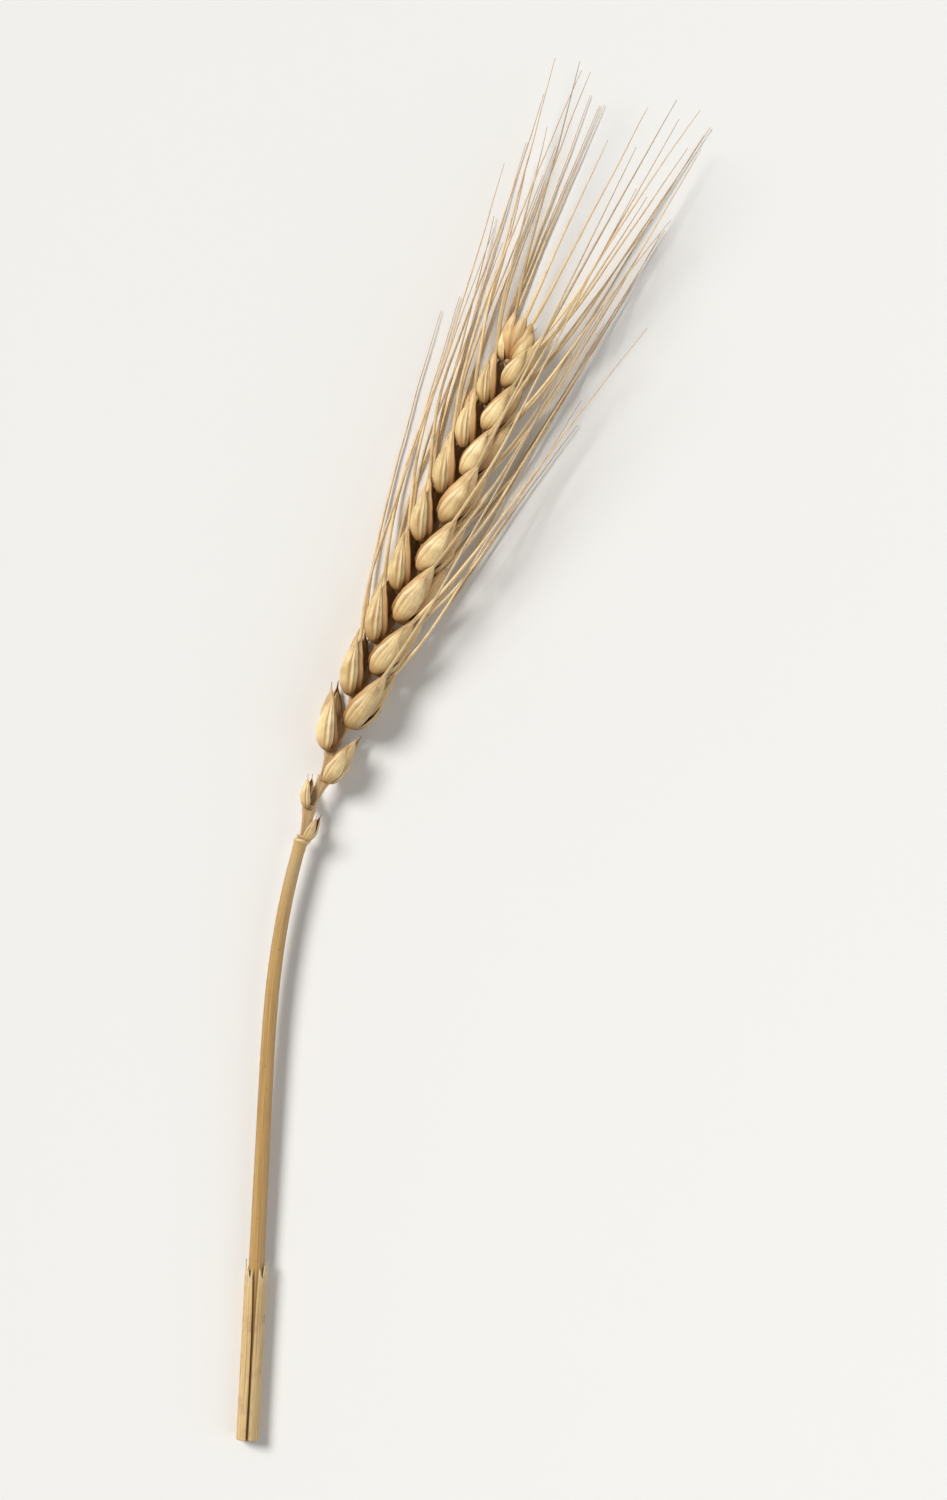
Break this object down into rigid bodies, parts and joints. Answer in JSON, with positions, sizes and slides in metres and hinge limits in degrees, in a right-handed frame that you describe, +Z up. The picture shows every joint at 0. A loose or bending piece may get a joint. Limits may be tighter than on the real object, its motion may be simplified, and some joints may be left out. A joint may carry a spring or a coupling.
{
  "type": "wheat ear",
  "caption": "Dried bearded wheat ear on its cut hollow stalk with a leaf sheath, lying flat and bending gently to one side.",
  "frame": {"origin": "on the surface that the ear lies on, under the middle of its bounding box", "axes": "+Y from the cut end towards the tips of the awns, +Z up from the surface, +X to the side that the head bends to"},
  "size_m": [0.075, 0.2178, 0.0175],
  "materials": {
    "husk": "satin",
    "straw": "satin",
    "sheath": "matte"
  },
  "bodies": {
    "root": {"ear_head": "husk", "stalk": "straw", "leaf_sheath": "sheath"}
  },
  "joints": []
}
